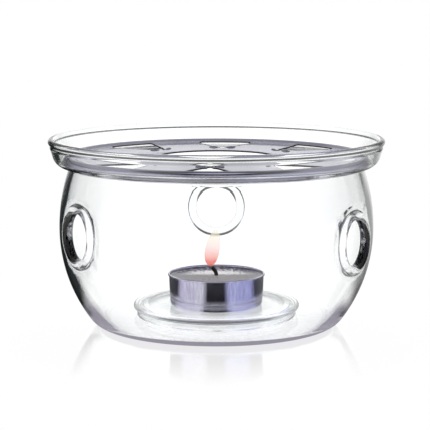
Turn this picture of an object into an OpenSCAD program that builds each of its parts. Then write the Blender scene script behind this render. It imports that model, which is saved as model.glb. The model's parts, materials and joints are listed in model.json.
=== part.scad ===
// Glass teapot warmer with a tealight.
//
// A blown glass bowl with a flared collar and three bead-edged vents, a glass candle dish sealed to its
// floor, a pressed steel plate that rests in the collar and carries the pot, and a tealight: aluminium
// cup, wax, wick clip and wick.
//
// +Z is up, the table is at z = 0 and the bowl's axis is x = y = 0. The front faces -Y.

/* [Bowl] */
// Outside radius at the belly, the widest part below the rim
belly_r = 60.9; // [60.5:0.1:61.3]
// Height of the belly
belly_z = 38.2; // [37.7:0.1:38.7]
// Radius of the outside arc from the belly down to the foot
lower_arc = 58; // [57:0.1:59]
// Radius of the inside arc from the belly down to the floor, smaller so that the wall thickens
lower_arc_inside = 52.5; // [51.5:0.1:53.5]
// Radius of the outside arc from the belly up to the neck
upper_arc = 73; // [70:1:76]
// Wall thickness from the belly up
wall = 2.3; // [2:0.1:2.5]
// Thickness of the floor
floor_t = 3; // [2.6:0.1:3.2]
// Outside radius of the round corner under the foot
foot_round = 9; // [7:0.5:10]
// Inside radius of the corner between floor and wall
floor_round = 2; // [1:0.5:3]

/* [Collar] */
// Radius from the axis to the centre of the collar's round underside
collar_reach = 58.4; // [58.2:0.1:58.6]
// Height of the centre of the collar's round underside
collar_z = 67.4; // [67.2:0.1:67.6]
// Outside radius of the collar's round underside
collar_arc = 5; // [4.9:0.1:5.1]
// Outside radius of the crease where the neck turns into the collar
crease_arc = 0.9; // [0.6:0.1:1.4]
// Inside radius of the corner between the collar's ledge and its wall
ledge_round = 0.8; // [0.6:0.1:1]
// Lean of the collar's wall, in degrees from upright
flare = 17; // [12:1:20]
// Length of the collar's leaning wall
flare_l = 5.8; // [5:0.2:7]
// Radius of the rolled rim
rim_bead = 1.25; // [1.2:0.05:1.5]

/* [Vents] */
// Direction of each vent around the bowl, in degrees from +X
vent_angles = [-150, -30, 90];
// Height of each vent's centre, a little uneven as on hand-worked glass
vent_heights = [38.6, 36.4, 37.5];
// Distance from the axis to the plane of a vent's bead
vent_reach = 59; // [58.8:0.1:59.2]
// Radius of a bead's centre line
vent_r = 10.5; // [9:0.5:12]
// Radius of the glass bead round a vent
vent_bead = 2; // [1.8:0.1:2.2]

/* [Candle dish] */
// Outside radius of the dish's foot ring where it is sealed to the floor
dish_foot_r = 31.4; // [31:0.1:32]
// Outside radius of the foot ring under the dish
dish_neck_r = 30.5; // [30:0.1:30.8]
// Thickness of the foot ring
dish_wall = 1.4; // [1.2:0.1:1.6]
// Height of the recess that the candle stands in
dish_z = 6.8; // [6.6:0.1:7.2]
// Thickness of the dish under the recess
dish_t = 1.4; // [1.2:0.1:1.6]
// Radius of the recess
recess_r = 26.3; // [25:0.1:27]
// Outside radius of the dish over its rounded lip
dish_r = 32.6; // [32.2:0.1:33]

/* [Support plate] */
// Height of the flat top of the plate
plate_z = 65.6; // [65.5:0.1:65.7]
// Thickness of the steel sheet
sheet = 0.6; // [0.5:0.1:0.7]
// Radius of the centre hole, which lets the tealight through
plate_hole_r = 23; // [21:0.5:25]
// Radius at which the raised edge is highest
crest_r = 57; // [56.8:0.1:57.1]
// Height of the raised edge above the flat
crest_rise = 1.3; // [1.2:0.1:1.4]
// Radius of the bend over the raised edge
crest_arc = 2.4; // [2.2:0.1:2.6]
// Slope where the flat turns up into the raised edge, in degrees
crest_slope = 25; // [20:1:30]
// Slope of the skirt below the raised edge, in degrees from level
skirt_slope = 60; // [55:1:65]
// Length of the skirt's straight part
skirt_l = 0.5; // [0.3:0.1:0.5]
// Number of openings round the plate
openings = 8; // [6:1:9]
// Turn of the openings from the +Y direction, in degrees
openings_turn = -4; // [-20:1:20]
// Radius of an opening's outer edge
opening_r = 54; // [53:0.5:54.5]
// Half the spread between an opening's outer corners, in degrees
opening_half_a = 10; // [8:0.1:11]
// Corner radius at an opening's outer edge
opening_corner = 1.5; // [1:0.5:3]
// Radius from the axis to the centre of an opening's rounded inner end
opening_apex = 37.4; // [36:0.1:40]
// Radius of an opening's rounded inner end
opening_apex_r = 3.4; // [3:0.1:4]
// Width of the notch at an opening's inner end
notch_w = 2; // [1.5:0.1:3]
// Radius from the axis to the end of the notch
notch_end = 31; // [30:0.5:32]
// Length of the pressed rib at each side of a notch
rib_l = 4; // [3:0.5:5]
// Width of a pressed rib
rib_w = 1.2; // [0.8:0.1:1.6]
// Height of a pressed rib above the plate
rib_h = 0.5; // [0.3:0.1:0.8]

/* [Tealight] */
// Radius over the cup's curled rim
cup_r = 19; // [18.5:0.1:19.5]
// Height of the cup
cup_h = 12.8; // [11:0.1:15]
// Thickness of the cup's aluminium
cup_t = 0.3; // [0.2:0.05:0.5]
// Radius of the corner under the cup
cup_round = 1.4; // [1:0.1:2]
// How far the wax lies below the cup's rim
wax_drop = 1.8; // [1:0.1:3]
// Radius of the wick clip's base
clip_r = 6; // [5:0.1:8]
// Height of the wick clip's neck
clip_h = 6.5; // [5:0.1:8]
// Diameter of the wick
wick_d = 1.5; // [1.2:0.1:2]
// Height of the wick's upright stretch above the wax
wick_stub = 0.5; // [0.5:0.1:3]
// Radius of the wick's curl towards -X
wick_curl = 4; // [2:0.5:6]
// How far the wick curls over, in degrees
wick_lean = 58; // [10:1:80]

/* [Hidden] */
$fn = 96;
BEAD_FN = 40;
CUP_DRAFT = 0.4;
CLIP_WALL = 0.7;
RIB_LEAN = [0.35, 1];
EPS = 0.01;
// step between the last point of one arc and the first of the next, in degrees
JOIN_A = 5;
LONG_JOIN_A = 2;
// how far the rim's bead wraps onto the wall, in degrees
BEAD_WRAP = 20;

// centres of the bowl's arcs
lower_c = [belly_r - lower_arc, belly_z];
lower_c_inside = [belly_r - wall - lower_arc_inside, belly_z];
upper_c = [belly_r - upper_arc, belly_z];
collar_c = [collar_reach, collar_z];
crease_c = crossing(upper_c, upper_arc + crease_arc, collar_c, collar_arc + crease_arc);
foot_c = corner_in(lower_c, lower_arc, 0, foot_round);
floor_c = corner_in(lower_c_inside, lower_arc_inside, floor_t, floor_round);
neck_a = angle(crease_c - upper_c);
ledge_a = angle(crease_c - collar_c);
ledge_z = collar_z - collar_arc + wall;
ledge_wall_r = collar_reach + (collar_arc - wall) / cos(flare) + (ledge_z + ledge_round - collar_z) * tan(flare);
ledge_corner_c = [ledge_wall_r - ledge_round / cos(flare), ledge_z + ledge_round];
rim_c = collar_c + collar_arc * along(-flare) + flare_l * along(90 - flare) - wall / 2 * along(-flare);

// candle dish
lip_r = 1.1;
lip_inner_r = 0.7;
lip_rise = 0.9;

// support plate
crest_c = [crest_r, plate_z + crest_rise - crest_arc];
upturn_arc = (crest_rise - crest_arc * (1 - cos(crest_slope))) / (1 - cos(crest_slope));
upturn_c = [crest_r - (crest_arc + upturn_arc) * sin(crest_slope), plate_z + upturn_arc];
opening_c = (opening_r - opening_corner) * along(opening_half_a);
opening_side_a = side_angle([opening_apex, 0], opening_apex_r, [opening_c[0], -opening_c[1]], opening_corner);

// tealight
cup_z = dish_z;
curl_r = 0.45;
cup_top = cup_z + cup_h;
cup_wall_r = cup_r - curl_r;
cup_foot_r = cup_wall_r - CUP_DRAFT;
wax_z = cup_top - wax_drop;
clip_t = 0.4;
clip_neck_r = wick_d / 2 + CLIP_WALL;

// Unit vector at an angle, and the angle of a vector
function along(a) = [cos(a), sin(a)];
function angle(v) = atan2(v[1], v[0]);

// Points on an arc from angle a0 to a1, in n steps
function arc(c, r, a0, a1, n) = [for (i = [0:n]) c + r * along(a0 + (a1 - a0) * i / n)];

// Where two circles cross, to the right of the way from the first to the second
function crossing(c1, r1, c2, r2) =
    let (d = c2 - c1, l = norm(d), a = (r1 * r1 - r2 * r2 + l * l) / (2 * l), h = sqrt(r1 * r1 - a * a))
    c1 + d * a / l + [d[1], -d[0]] * h / l;

// Centre of a corner of radius r that stands on level z and touches a circle from inside
function corner_in(c, big_r, z, r) = [c[0] + sqrt(pow(big_r - r, 2) - pow(c[1] - z - r, 2)), z + r];

// Angle of the outward normal of the line that touches two circles, on the right of the way between them
function side_angle(c1, r1, c2, r2) = angle(c2 - c1) - acos((r1 - r2) / norm(c2 - c1));

// Outline round two circles
function capsule(c1, r1, c2, r2, n) =
    let (a = side_angle(c1, r1, c2, r2), b = side_angle(c2, r2, c1, r1))
    concat(arc(c2, r2, a, b < a ? b + 360 : b, n), arc(c1, r1, b, a < b ? a + 360 : a, n));

// The bowl's outside, from the middle of the foot up to the rim, and its inside, back down
function bowl_outside() = concat(
    [[0, 0]],
    arc(foot_c, foot_round, -90, angle(foot_c - lower_c), 6),
    arc(lower_c, lower_arc, angle(foot_c - lower_c) + LONG_JOIN_A, 0, 11),
    arc(upper_c, upper_arc, LONG_JOIN_A, neck_a, 8),
    arc(crease_c, crease_arc, neck_a + 180, ledge_a + 180, 5),
    arc(collar_c, collar_arc, ledge_a + JOIN_A, -flare, 8),
    arc(rim_c, rim_bead, -flare - BEAD_WRAP, 180 - flare + BEAD_WRAP, 11));
function bowl_inside() = concat(
    arc(ledge_corner_c, ledge_round, -flare, -90, 5),
    arc(collar_c, collar_arc - wall, -90, ledge_a + JOIN_A, 4),
    arc(crease_c, crease_arc + wall, ledge_a + 180, neck_a + 180, 6),
    arc(upper_c, upper_arc - wall, neck_a - LONG_JOIN_A, LONG_JOIN_A, 7),
    arc(lower_c_inside, lower_arc_inside, 0, angle(floor_c - lower_c_inside), 11),
    arc(floor_c, floor_round, angle(floor_c - lower_c_inside) - JOIN_A, -90, 4),
    [[0, floor_t]]);

module at_vents() {
    for (i = [0:len(vent_angles) - 1])
        rotate(vent_angles[i]) translate([vent_reach, 0, vent_heights[i]]) rotate([0, 90, 0]) children();
}

module glass_bowl() {
    color("lightcyan", 0.4) {
        difference() {
            rotate_extrude() polygon(concat(bowl_outside(), bowl_inside()));
            at_vents() cylinder(r = vent_r, h = 4 * vent_bead, center = true);
        }
        at_vents() rotate_extrude() translate([vent_r, 0]) circle(vent_bead, $fn = BEAD_FN);
    }
}

module candle_dish() {
    under = dish_z - dish_t;
    color("azure", 0.5) rotate_extrude() {
        polygon([[dish_foot_r - dish_wall, floor_t], [dish_foot_r, floor_t],
            [dish_neck_r, under + EPS], [dish_neck_r - dish_wall, under + EPS]]);
        translate([0, under]) square([dish_r - lip_r, dish_t]);
        polygon(capsule([recess_r + lip_inner_r, dish_z + lip_rise - lip_inner_r], lip_inner_r,
            [dish_r - lip_r, under + lip_r], lip_r, 8));
    }
}

// One opening of the plate, along +X
module opening_2d() {
    low = [opening_c[0], -opening_c[1]];
    polygon(concat(
        arc(low, opening_corner, opening_side_a, -opening_half_a, 4),
        arc([0, 0], opening_r, -opening_half_a + 1, opening_half_a - 1, 4),
        arc(opening_c, opening_corner, opening_half_a, -opening_side_a, 4),
        arc([opening_apex, 0], opening_apex_r, -opening_side_a, 360 + opening_side_a, 10)));
    translate([notch_end + notch_w / 2, 0]) circle(notch_w / 2, $fn = 24);
    translate([notch_end + notch_w / 2, -notch_w / 2]) square([opening_apex - notch_end, notch_w]);
}

// The pair of pressed ribs beside a notch, along +X
module ribs_2d() {
    for (side = [-1, 1]) {
        start = [notch_end + notch_w, side * (notch_w / 2 + rib_w)];
        run = [RIB_LEAN[0], side * RIB_LEAN[1]] * (rib_l - rib_w) / norm(RIB_LEAN);
        polygon(capsule(start, rib_w / 2, start + run, rib_w / 2, 6));
    }
}

module at_openings() {
    for (i = [0:openings - 1]) rotate(90 + openings_turn + i * 360 / openings) children();
}

module support_plate() {
    skirt_end = crest_c + crest_arc * along(90 - skirt_slope) + skirt_l * along(-skirt_slope);
    color("silver") {
        difference() {
            rotate_extrude() polygon(concat(
                [[plate_hole_r, plate_z - sheet], [plate_hole_r, plate_z]],
                arc(upturn_c, upturn_arc, -90, -90 + crest_slope, 4),
                arc(crest_c, crest_arc, 90 + crest_slope - 10, 90 - skirt_slope, 8),
                [skirt_end, skirt_end - sheet * along(90 - skirt_slope)],
                arc(crest_c, crest_arc - sheet, 90 - skirt_slope, 90 + crest_slope - 10, 8),
                arc(upturn_c, upturn_arc + sheet, -90 + crest_slope, -90, 4)));
            at_openings() translate([0, 0, plate_z - 5]) linear_extrude(10) opening_2d();
        }
        at_openings() translate([0, 0, plate_z - EPS]) linear_extrude(rib_h + EPS) ribs_2d();
    }
}

// The cup's side from its foot to just under its curl, drawn inwards by the thickness t
function cup_side(t) = concat(
    arc([cup_foot_r - cup_round, cup_z + cup_round], cup_round - t, -90, 0, 6),
    [[cup_wall_r - t, cup_top - curl_r]]);

module tealight_cup() {
    color("gainsboro") rotate_extrude() {
        polygon(concat(
            [[0, cup_z]], cup_side(0),
            [for (i = [len(cup_side(0)) - 1:-1:0]) cup_side(cup_t)[i]],
            [[0, cup_z + cup_t]]));
        translate([cup_wall_r, cup_top - curl_r]) circle(curl_r, $fn = 24);
    }
}

module wick_clip() {
    color("lightgray") translate([0, 0, cup_z + cup_t]) difference() {
        union() {
            cylinder(r = clip_r, h = clip_t);
            cylinder(r = clip_neck_r, h = clip_h);
        }
        translate([0, 0, -1]) cylinder(d = wick_d, h = clip_h + 2, $fn = 32);
    }
}

module wick() {
    foot = cup_z + cup_t;
    bend_z = wax_z + wick_stub;
    color("dimgray") {
        translate([0, 0, foot]) cylinder(d = wick_d, h = bend_z - foot, $fn = 32);
        translate([-wick_curl, 0, bend_z]) rotate([90, 0, 0])
            rotate_extrude(angle = wick_lean) translate([wick_curl, 0]) circle(d = wick_d, $fn = 32);
    }
}

module tealight_wax() {
    top_r = cup_foot_r - cup_t + (cup_wall_r - cup_foot_r) * (wax_z - cup_z - cup_round)
        / (cup_h - curl_r - cup_round);
    color("ivory") difference() {
        rotate_extrude() polygon(concat(
            [[0, cup_z + cup_t]],
            arc([cup_foot_r - cup_round, cup_z + cup_round], cup_round - cup_t, -90, 0, 6),
            [[top_r, wax_z], [0, wax_z]]));
        translate([0, 0, cup_z]) cylinder(r = clip_r, h = cup_t + clip_t);
        translate([0, 0, cup_z]) cylinder(r = clip_neck_r, h = cup_t + clip_h);
        translate([0, 0, cup_z]) cylinder(d = wick_d, h = cup_h, $fn = 32);
    }
}

glass_bowl();
candle_dish();
support_plate();
tealight_cup();
tealight_wax();
wick_clip();
wick();
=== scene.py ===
"""Glass teapot warmer with its steel plate and a lit tealight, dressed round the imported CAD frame.

Sizes are in millimetres until a mesh is finished, when it is scaled to metres in one place.
"""

import json
import logging
import math
from dataclasses import dataclass
from enum import Enum
from functools import partial
from typing import Callable, Iterable, Sequence

import bmesh
import bpy
from mathutils import Matrix, Vector

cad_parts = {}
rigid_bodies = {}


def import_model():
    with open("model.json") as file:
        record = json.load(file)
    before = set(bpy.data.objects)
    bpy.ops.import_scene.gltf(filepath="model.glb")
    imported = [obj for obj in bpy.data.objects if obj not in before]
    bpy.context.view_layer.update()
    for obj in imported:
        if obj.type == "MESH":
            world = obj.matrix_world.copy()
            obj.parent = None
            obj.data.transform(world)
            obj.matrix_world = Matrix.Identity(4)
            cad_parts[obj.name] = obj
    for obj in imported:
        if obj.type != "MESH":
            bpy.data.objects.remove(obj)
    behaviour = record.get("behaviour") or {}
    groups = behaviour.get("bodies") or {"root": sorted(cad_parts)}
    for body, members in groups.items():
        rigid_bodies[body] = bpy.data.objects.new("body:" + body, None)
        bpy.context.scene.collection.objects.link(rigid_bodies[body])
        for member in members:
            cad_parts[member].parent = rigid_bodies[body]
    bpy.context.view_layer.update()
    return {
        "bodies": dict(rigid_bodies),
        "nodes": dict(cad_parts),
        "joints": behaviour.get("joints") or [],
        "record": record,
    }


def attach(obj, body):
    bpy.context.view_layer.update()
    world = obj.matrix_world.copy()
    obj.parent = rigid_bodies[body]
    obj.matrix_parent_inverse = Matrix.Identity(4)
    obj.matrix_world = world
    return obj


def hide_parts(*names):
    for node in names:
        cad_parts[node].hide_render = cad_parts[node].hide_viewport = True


LOG = logging.getLogger("warmer")
MM = 0.001
Point = tuple[float, float]
Colour = tuple[float, float, float, float]
Tree = bpy.types.NodeTree
Node = bpy.types.Node
Socket = bpy.types.NodeSocket
Material = bpy.types.Material
Piece = bpy.types.Object
Mesh = bmesh.types.BMesh
Edge = bmesh.types.BMEdge
Vert = bmesh.types.BMVert
RGBA = {"data_type": "RGBA"}
PRODUCT = {"data_type": "RGBA", "blend_type": "MULTIPLY"}


class Slot(Enum):
    """The record's material slot names for the new pieces; nothing in the script uses them."""

    BOWL = "bowl_glass"
    DISH = "dish_glass"
    PLATE = "plate_steel"
    CUP = "cup_aluminium"
    WAX = "wax"
    WICK = "wick_cotton"


class Body(Enum):
    """The bodies that pieces ride on."""

    WARMER = "warmer"
    PLATE = "plate"
    TEALIGHT = "tealight"


# Outlines


def along(degrees: float) -> Vector:
    """Unit vector of an outline at an angle."""
    return Vector((math.cos(math.radians(degrees)), math.sin(math.radians(degrees))))


def angle_of(v: Vector) -> float:
    """Angle of an outline's vector, in degrees."""
    return math.degrees(math.atan2(v.y, v.x))


def arc(centre: Sequence[float], radius: float, start: float, end: float, steps: int) -> list[Point]:
    """Points on an arc.

    Args:
        centre: The arc's centre.
        radius: Its radius.
        start: Angle of the first point, in degrees.
        end: Angle of the last point, in degrees.
        steps: Number of stretches between points.

    Returns:
        The points, first and last included.
    """
    middle = Vector(centre)
    return [tuple(middle + radius * along(start + (end - start) * i / steps)) for i in range(steps + 1)]


def straight(start: Sequence[float], end: Sequence[float], steps: int) -> list[Point]:
    """Points on a straight line, first and last included."""
    a, b = Vector(start), Vector(end)
    return [tuple(a.lerp(b, i / steps)) for i in range(steps + 1)]


def crossing(c1: Vector, r1: float, c2: Vector, r2: float) -> Vector:
    """Where two circles cross, to the right of the way from the first centre to the second.

    Args:
        c1: The first circle's centre.
        r1: Its radius.
        c2: The second circle's centre.
        r2: Its radius.

    Returns:
        The point.
    """
    d = c2 - c1
    reach = (r1 * r1 - r2 * r2 + d.length_squared) / (2 * d.length)
    side = math.sqrt(r1 * r1 - reach * reach)
    return c1 + d.normalized() * reach + Vector((d.y, -d.x)).normalized() * side


def corner_in(centre: Vector, radius: float, level: float, corner: float) -> Vector:
    """Centre of a round corner that stands on a level line and touches a circle from inside.

    Args:
        centre: The circle's centre.
        radius: Its radius.
        level: Height of the line.
        corner: The corner's radius.

    Returns:
        The corner's centre.
    """
    drop = centre.y - level - corner
    return Vector((centre.x + math.sqrt((radius - corner) ** 2 - drop**2), level + corner))


def side_angle(c1: Vector, r1: float, c2: Vector, r2: float) -> float:
    """Angle of the normal of the line that touches two circles, on the right of the way between them.

    Args:
        c1: The first circle's centre.
        r1: Its radius.
        c2: The second circle's centre.
        r2: Its radius.

    Returns:
        The angle, in degrees.
    """
    d = c2 - c1
    return angle_of(d) - math.degrees(math.acos((r1 - r2) / d.length))


def without_repeats(points: Iterable[Point], least: float = 1e-4) -> list[Point]:
    """Leaves out points that lie on the one before.

    Args:
        points: The outline.
        least: The shortest stretch to keep.

    Returns:
        The outline without them.
    """
    kept: list[Point] = []
    for p in points:
        if not kept or (Vector(p) - Vector(kept[-1])).length > least:
            kept.append(p)
    return kept


# Meshes


def revolve(bm: Mesh, outline: Sequence[Point], steps: int, closed: bool = False) -> None:
    """Turns an outline of (radius, height) points about Z into a surface.

    Args:
        bm: The mesh that gets the surface.
        outline: Its points, in millimetres.
        steps: Faces round the full turn.
        closed: True if the last point joins the first.
    """
    verts = [bm.verts.new((x, 0.0, z)) for x, z in outline]
    pairs = list(zip(verts, verts[1:]))
    if closed:
        pairs.append((verts[-1], verts[0]))
    edges = [bm.edges.new(pair) for pair in pairs]
    bmesh.ops.spin(
        bm,
        geom=[*verts, *edges],
        cent=(0, 0, 0),
        axis=(0, 0, 1),
        angle=math.tau,
        steps=steps,
        use_merge=True,
    )
    bmesh.ops.remove_doubles(bm, verts=bm.verts, dist=1e-4)


def mark_sharp(bm: Mesh, degrees: float) -> None:
    """Smooths all faces, and keeps edges that bend by more than an angle sharp.

    Args:
        bm: The mesh.
        degrees: The angle.
    """
    limit = math.radians(degrees)
    for face in bm.faces:
        face.smooth = True
    for edge in bm.edges:
        edge.smooth = len(edge.link_faces) != 2 or edge.calc_face_angle(0.0) < limit


def finished(
    bm: Mesh, name: str, sharp: float = 180.0, recalculate: bool = True
) -> Piece:
    """Makes an object of a mesh in millimetres.

    Args:
        bm: The mesh, which is freed.
        name: The piece's name.
        sharp: Edges that bend by more than this many degrees stay sharp.
        recalculate: False if the faces already look the right way, as on an open sheet.

    Returns:
        The object, at the origin, with its mesh in metres.
    """
    if recalculate:
        bmesh.ops.recalc_face_normals(bm, faces=bm.faces)
    mark_sharp(bm, sharp)
    bmesh.ops.transform(bm, matrix=Matrix.Scale(MM, 4), verts=bm.verts)
    mesh = bpy.data.meshes.new(name)
    bm.to_mesh(mesh)
    bm.free()
    piece = bpy.data.objects.new(name, mesh)
    bpy.context.scene.collection.objects.link(piece)
    LOG.info("%s: %d faces", name, len(mesh.polygons))
    return piece


def loop_verts(edges: Iterable[Edge]) -> list[Vert]:
    """The vertices of some edges, each once."""
    return list(dict.fromkeys(v for e in edges for v in e.verts))


def off_turn(v: Vector, middle: float) -> float:
    """Turn about Z from a direction to a point, in radians from -pi to pi."""
    return (math.atan2(v.y, v.x) - middle + math.pi) % math.tau - math.pi


def cut_window(bm: Mesh, inside: Callable[[Vector], bool]) -> list[Edge]:
    """Removes the faces whose centres lie inside a window.

    Args:
        bm: The mesh to cut.
        inside: Says whether a face's centre is in the window.

    Returns:
        The edges round the hole.
    """
    gone = [f for f in bm.faces if inside(f.calc_center_median())]
    lost = set(gone)
    edges = dict.fromkeys(e for f in gone for e in f.edges)
    rim = [e for e in edges if any(f not in lost for f in e.link_faces)]
    bmesh.ops.delete(bm, geom=gone, context="FACES")
    return rim


def bridge(
    bm: Mesh, first: list[Edge], second: list[Edge], cuts: int
) -> list[Vert]:
    """Joins two loops with faces and divides the joining edges.

    Args:
        bm: The mesh that holds both loops.
        first: Edges of the first loop.
        second: Edges of the second loop, as many as the first has.
        cuts: Rings of vertices to put between the loops.

    Returns:
        The vertices of the new rings.
    """
    made = bmesh.ops.bridge_loops(bm, edges=[*first, *second])
    kept = {*first, *second}
    ends = set(loop_verts(kept))
    rungs = [e for e in dict.fromkeys(e for f in made["faces"] for e in f.edges) if e not in kept]
    cut = bmesh.ops.subdivide_edges(bm, edges=rungs, cuts=cuts, use_grid_fill=True)
    return [v for v in cut["geom_inner"] if isinstance(v, Vert) and v not in ends]


# Materials


def linear(code: str) -> Colour:
    """Linear colour of an sRGB hex code such as "f0e8d0"."""
    parts = [int(code[i : i + 2], 16) / 255 for i in (0, 2, 4)]
    return (*(c / 12.92 if c <= 0.04045 else ((c + 0.055) / 1.055) ** 2.4 for c in parts), 1.0)


def grey(value: float) -> Colour:
    """A linear grey."""
    return (value, value, value, 1.0)


def fill(tree: Tree, node: Node, values: dict) -> None:
    """Sets or links a node's inputs.

    Args:
        tree: The node tree.
        node: The node.
        values: Inputs by name or index: an output socket is linked, and anything else is a value.
    """
    for key, value in values.items():
        if isinstance(value, Socket):
            tree.links.new(value, node.inputs[key])
        else:
            node.inputs[key].default_value = value


def add_node(
    tree: Tree,
    kind: str,
    settings: dict | None = None,
    values: dict | None = None,
    stops: Sequence[tuple[float, Colour]] = (),
) -> Node:
    """Adds a node with its settings, inputs and ramp.

    Args:
        tree: The node tree.
        kind: The node's type, such as "ShaderNodeTexNoise".
        settings: Attributes to set on the node.
        values: Inputs as fill() takes them.
        stops: A colour ramp's stops, as (position, linear colour) pairs.

    Returns:
        The node.
    """
    node = tree.nodes.new(kind)
    for key, value in (settings or {}).items():
        setattr(node, key, value)
    fill(tree, node, values or {})
    for i, (position, colour) in enumerate(stops):
        elements = node.color_ramp.elements
        if i == len(elements):
            elements.new(1.0)
        elements[i].position = position
        elements[i].color = colour
    return node


def dress(piece: Piece, *materials: Material) -> None:
    """Gives a piece its materials.

    Args:
        piece: The piece, which loses the ones it has.
        materials: The new ones, in the order of its slots.
    """
    piece.data.materials.clear()
    for material in materials:
        piece.data.materials.append(material)


@dataclass(frozen=True)
class Finish:
    """A finish: one Principled shader that each kind of finish sets up, on the piece's own coordinates."""

    name: str

    def material(self) -> Material:
        """Makes the finish's material.

        Returns:
            The material.
        """
        material = bpy.data.materials.new(self.name)
        material.use_nodes = True
        tree = material.node_tree
        tree.nodes.clear()
        shader = add_node(tree, "ShaderNodeBsdfPrincipled")
        output = add_node(tree, "ShaderNodeOutputMaterial", values={"Surface": shader.outputs[0]})
        place = add_node(tree, "ShaderNodeTexCoord").outputs["Object"]
        self.shade(tree, shader, output, place)
        return material

    def shade(self, tree: Tree, shader: Node, output: Node, place: Socket) -> None:
        """Sets the shader up.

        Args:
            tree: The material's node tree.
            shader: Its Principled node.
            output: Its output node.
            place: The object coordinates, in metres.
        """
        raise NotImplementedError


def add_tones(
    tree: Tree,
    place: Socket,
    scale: float,
    detail: float,
    stops: Sequence[tuple[float, str]],
) -> tuple[Socket, Socket]:
    """Adds a noise over the surface that wanders between tones.

    Args:
        tree: The node tree.
        place: The coordinates.
        scale: Swells of the noise in a metre.
        detail: Its octaves.
        stops: The tones, as (noise, sRGB hex) pairs.

    Returns:
        The noise and the tone.
    """
    grain = add_node(tree, "ShaderNodeTexNoise", values={"Vector": place, "Scale": scale, "Detail": detail})
    ramp = [(level, linear(code)) for level, code in stops]
    tone = add_node(tree, "ShaderNodeValToRGB", values={0: grain.outputs[0]}, stops=ramp)
    return grain.outputs[0], tone.outputs[0]


@dataclass(frozen=True)
class BlownGlass(Finish):
    """Borosilicate glass, blown and fire-polished: dead clear, a grey-green edge, faintly wavy.

    Its waves are about 18 mm long. A thin pressed piece can be given a faint painted glow, emission that
    stands in for light running inside it.
    """

    name: str = "blown_borosilicate"
    ior: float = 1.47
    tint: str = "fdfefe"
    edge: str = "b4c4c0"
    depth_density: float = 3.0
    # painted glow: emission that stands in for light running inside the glass
    glow: float = 0.0
    waves_per_m: float = 55.0
    ripple: float = 0.25
    ripple_rise: float = 0.0002

    def shade(self, tree: Tree, shader: Node, output: Node, place: Socket) -> None:
        """Sets clear glass up, with its depth in the volume."""
        waves = add_node(
            tree, "ShaderNodeTexNoise", values={"Vector": place, "Scale": self.waves_per_m, "Detail": 1.0}
        )
        bumps = {"Strength": self.ripple, "Distance": self.ripple_rise, "Height": waves.outputs[0]}
        values = {
            "Base Color": linear(self.tint),
            "Roughness": 0.0,
            "IOR": self.ior,
            "Transmission Weight": 1.0,
            # painted glow, where the piece has one
            "Emission Color": grey(1.0),
            "Emission Strength": self.glow,
            "Normal": add_node(tree, "ShaderNodeBump", values=bumps).outputs[0],
        }
        fill(tree, shader, values)
        depth = {"Color": linear(self.edge), "Density": self.depth_density}
        volume = add_node(tree, "ShaderNodeVolumeAbsorption", values=depth)
        fill(tree, output, {"Volume": volume.outputs[0]})


@dataclass(frozen=True)
class GrainedFinish(Finish):
    """A finish with a grain that wanders between two tones, may be drawn out along Z, and may stand up."""

    dark: str = "505050"
    light: str = "a0a0a0"
    levels: Point = (0.3, 0.7)
    grain_per_m: float = 900.0
    detail: float = 3.0
    stretch: float = 1.0
    metallic: float = 1.0
    roughness: float = 0.5
    bumps: float = 0.0
    bumps_rise: float = 0.0001

    def shade(self, tree: Tree, shader: Node, output: Node, place: Socket) -> None:
        """Sets the grain up."""
        values = {"Vector": place, "Scale": (1.0, 1.0, self.stretch)}
        drawn = add_node(tree, "ShaderNodeMapping", values=values).outputs[0]
        stops = tuple(zip(self.levels, (self.dark, self.light)))
        grain, tone = add_tones(tree, drawn, self.grain_per_m, self.detail, stops)
        fill(tree, shader, {"Metallic": self.metallic, "Base Color": tone, "Roughness": self.roughness})
        if self.bumps:
            values = {"Strength": self.bumps, "Distance": self.bumps_rise, "Height": grain}
            fill(tree, shader, {"Normal": add_node(tree, "ShaderNodeBump", values=values).outputs[0]})


@dataclass(frozen=True)
class PolishedStainless(GrainedFinish):
    """Stainless sheet, rolled bright and pressed: a clean mirror with faint drawing marks 26 mm long."""

    name: str = "polished_stainless"
    dark: str = "9c9bb0"
    light: str = "bcbbcc"
    grain_per_m: float = 38.0
    detail: float = 2.0
    roughness: float = 0.08
    bumps: float = 0.2
    bumps_rise: float = 0.0006


@dataclass(frozen=True)
class ShearedEdge(GrainedFinish):
    """The edge of the stainless sheet where the die has sheared it: dull and dark, with tears 1 mm apart."""

    name: str = "sheared_stainless"
    dark: str = "453a3c"
    light: str = "6a5c5c"


@dataclass(frozen=True)
class DrawnAluminium(GrainedFinish):
    """Thin aluminium, drawn into a cup: bright, with streaks up the side 0.7 mm apart."""

    name: str = "drawn_aluminium"
    dark: str = "bebad0"
    light: str = "d6d4e2"
    grain_per_m: float = 1400.0
    stretch: float = 0.12
    roughness: float = 0.1
    bumps: float = 0.06


@dataclass(frozen=True)
class CharredCotton(GrainedFinish):
    """Braided cotton, waxed, black where it has burnt, with strands 0.6 mm apart."""

    name: str = "charred_cotton"
    dark: str = "15110f"
    light: str = "342c28"
    levels: Point = (0.35, 0.7)
    grain_per_m: float = 1800.0
    metallic: float = 0.0
    roughness: float = 0.8
    bumps: float = 0.5


@dataclass(frozen=True)
class Tinplate(GrainedFinish):
    """Thin tinned steel, stamped: dull silver, with a bloom of 1.4 mm spots."""

    name: str = "tinplate"
    dark: str = "9a9a9f"
    light: str = "c0c0c6"
    grain_per_m: float = 700.0
    detail: float = 2.0
    roughness: float = 0.4


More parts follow.
